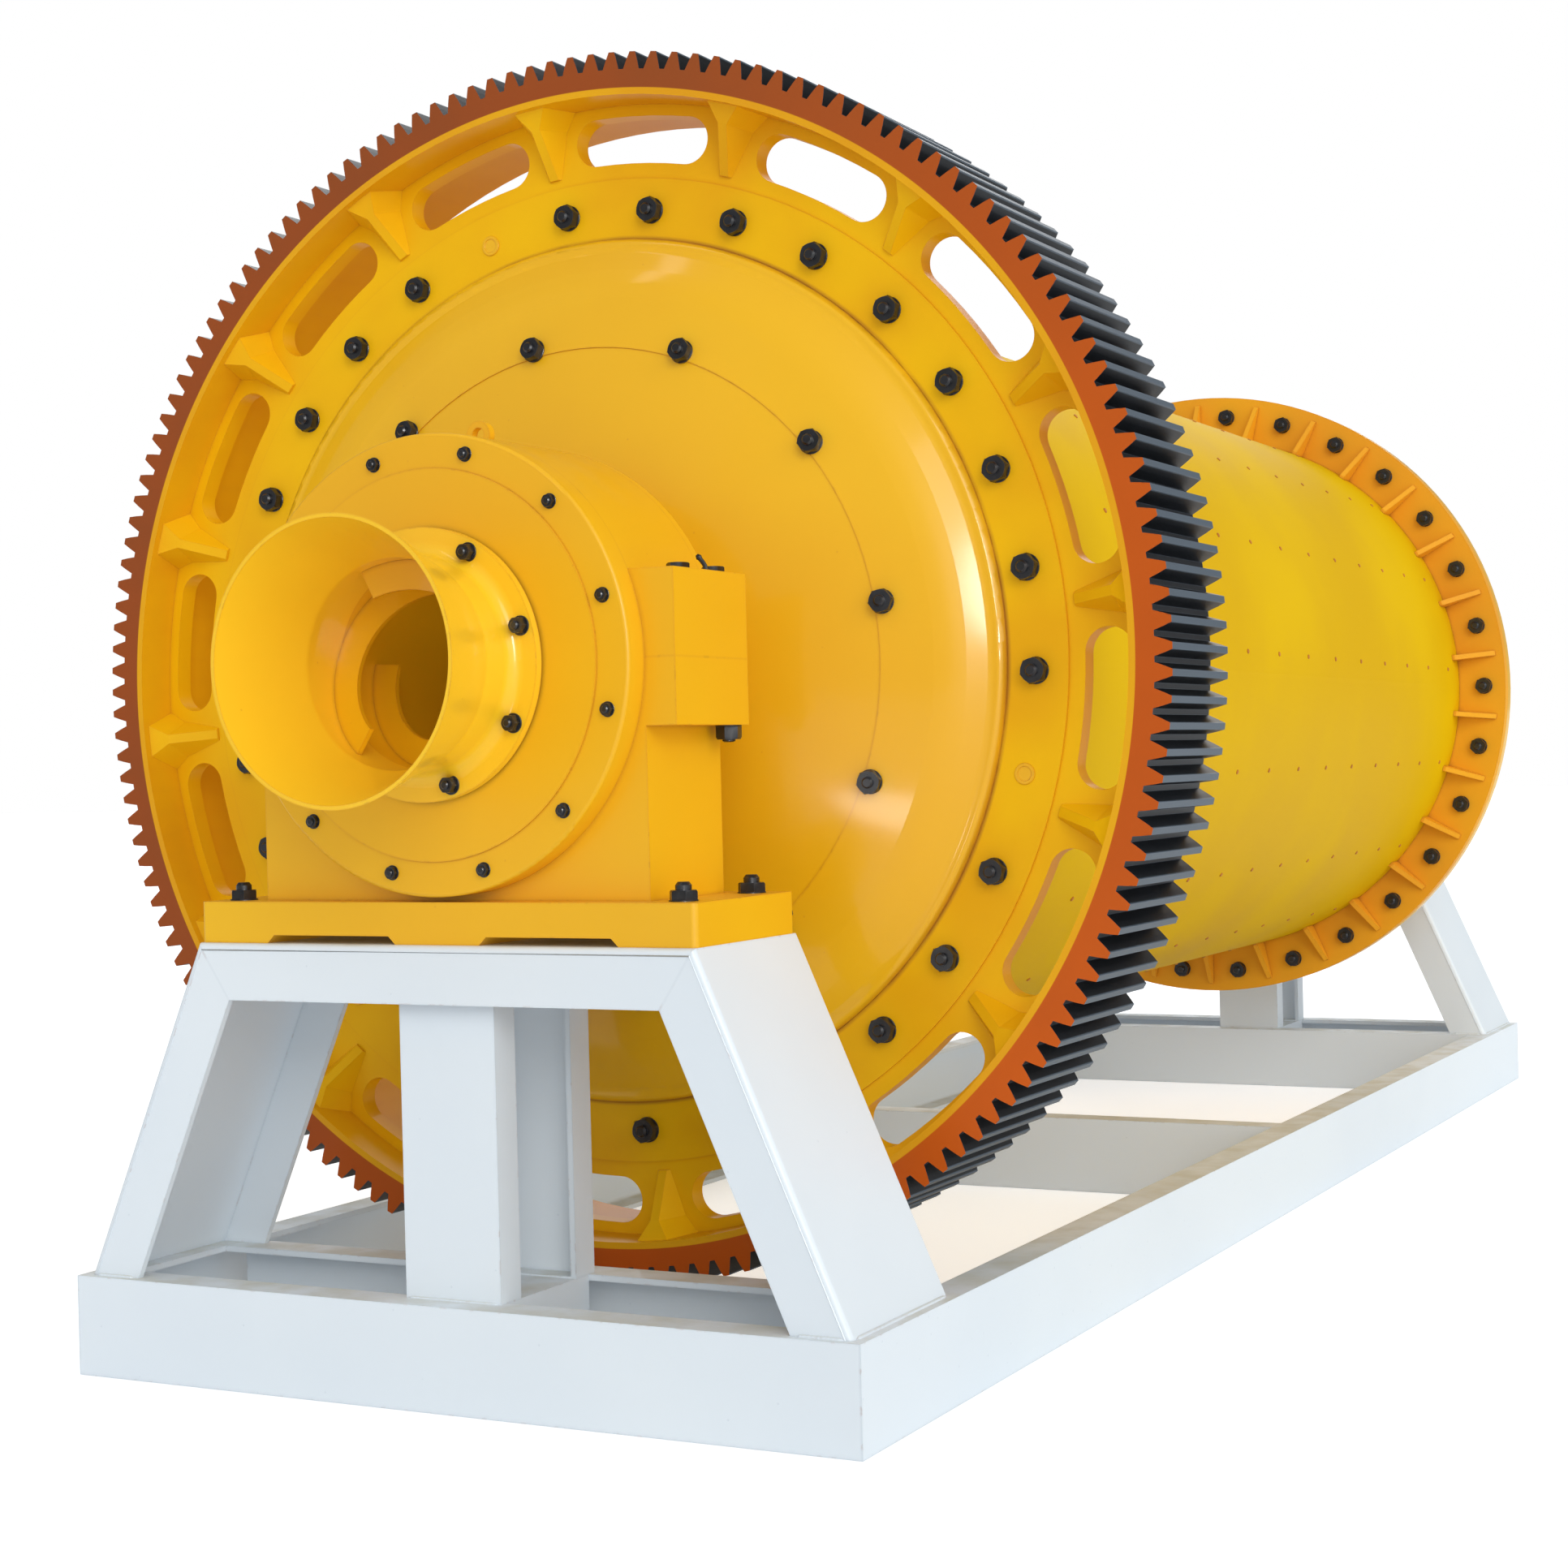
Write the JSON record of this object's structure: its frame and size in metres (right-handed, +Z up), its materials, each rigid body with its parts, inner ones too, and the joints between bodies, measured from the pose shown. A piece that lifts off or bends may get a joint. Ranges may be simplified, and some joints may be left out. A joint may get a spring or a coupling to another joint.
{
  "type": "ball mill",
  "caption": "Horizontal grinding drum with a girth gear, turning on hollow trunnions in two split bearings on a welded channel frame with pedestals.",
  "frame": {"origin": "on the ground, under the middle of the drum", "axes": "+Y along the mill axis towards the feed end, the discharge trumpet and girth gear at -Y, +Z up, +X to the right seen from the discharge end"},
  "size_m": [2.268, 5.43, 2.388],
  "materials": {
    "frame_paint": "satin white paint on rolled channel",
    "mill_paint": "glossy amber yellow paint on cast and rolled steel",
    "gear_steel": "glossy amber yellow paint, orange rim face, bare dark steel teeth"
  },
  "bodies": {
    "frame": {"base_left_rail": "frame_paint", "base_right_rail": "frame_paint", "base_cross_member": "frame_paint", "base_front_end_beam": "frame_paint", "base_front_inner_beam": "frame_paint", "base_front_saddle": "frame_paint", "front_pedestal_left_leg": "frame_paint", "front_pedestal_right_leg": "frame_paint", "front_pedestal_top_beam": "frame_paint", "front_column_outer": "frame_paint", "front_column_inner": "frame_paint", "base_rear_end_beam": "frame_paint", "base_rear_inner_beam": "frame_paint", "base_rear_saddle": "frame_paint", "rear_pedestal_left_leg": "frame_paint", "rear_pedestal_right_leg": "frame_paint", "rear_pedestal_top_beam": "frame_paint", "rear_column_outer": "frame_paint", "rear_column_inner": "frame_paint", "front_bearing_base": "mill_paint", "front_bearing_cap": "mill_paint", "front_bearing_outer_cover": "mill_paint", "front_bearing_inner_cover": "mill_paint", "rear_bearing_base": "mill_paint", "rear_bearing_cap": "mill_paint", "rear_bearing_outer_cover": "mill_paint", "rear_bearing_inner_cover": "mill_paint"},
    "drum": {"drum_shell": "mill_paint", "drum_front_flange": "mill_paint", "drum_rear_flange": "mill_paint", "front_head": "mill_paint", "rear_head": "mill_paint", "front_trunnion": "mill_paint", "rear_trunnion": "mill_paint", "girth_gear": "gear_steel", "discharge_trumpet": "mill_paint", "discharge_spiral": "mill_paint", "discharge_spiral_2": "mill_paint", "discharge_spiral_3": "mill_paint", "feed_spout": "mill_paint", "feed_spiral": "mill_paint", "feed_spiral_2": "mill_paint", "feed_spiral_3": "mill_paint"}
  },
  "joints": [
    {"name": "drum_rotation", "type": "hinge", "parent": "frame", "child": "drum", "pos_m": [0, 0, 1.254], "axis": [0, 1, 0], "continuous": true}
  ]
}
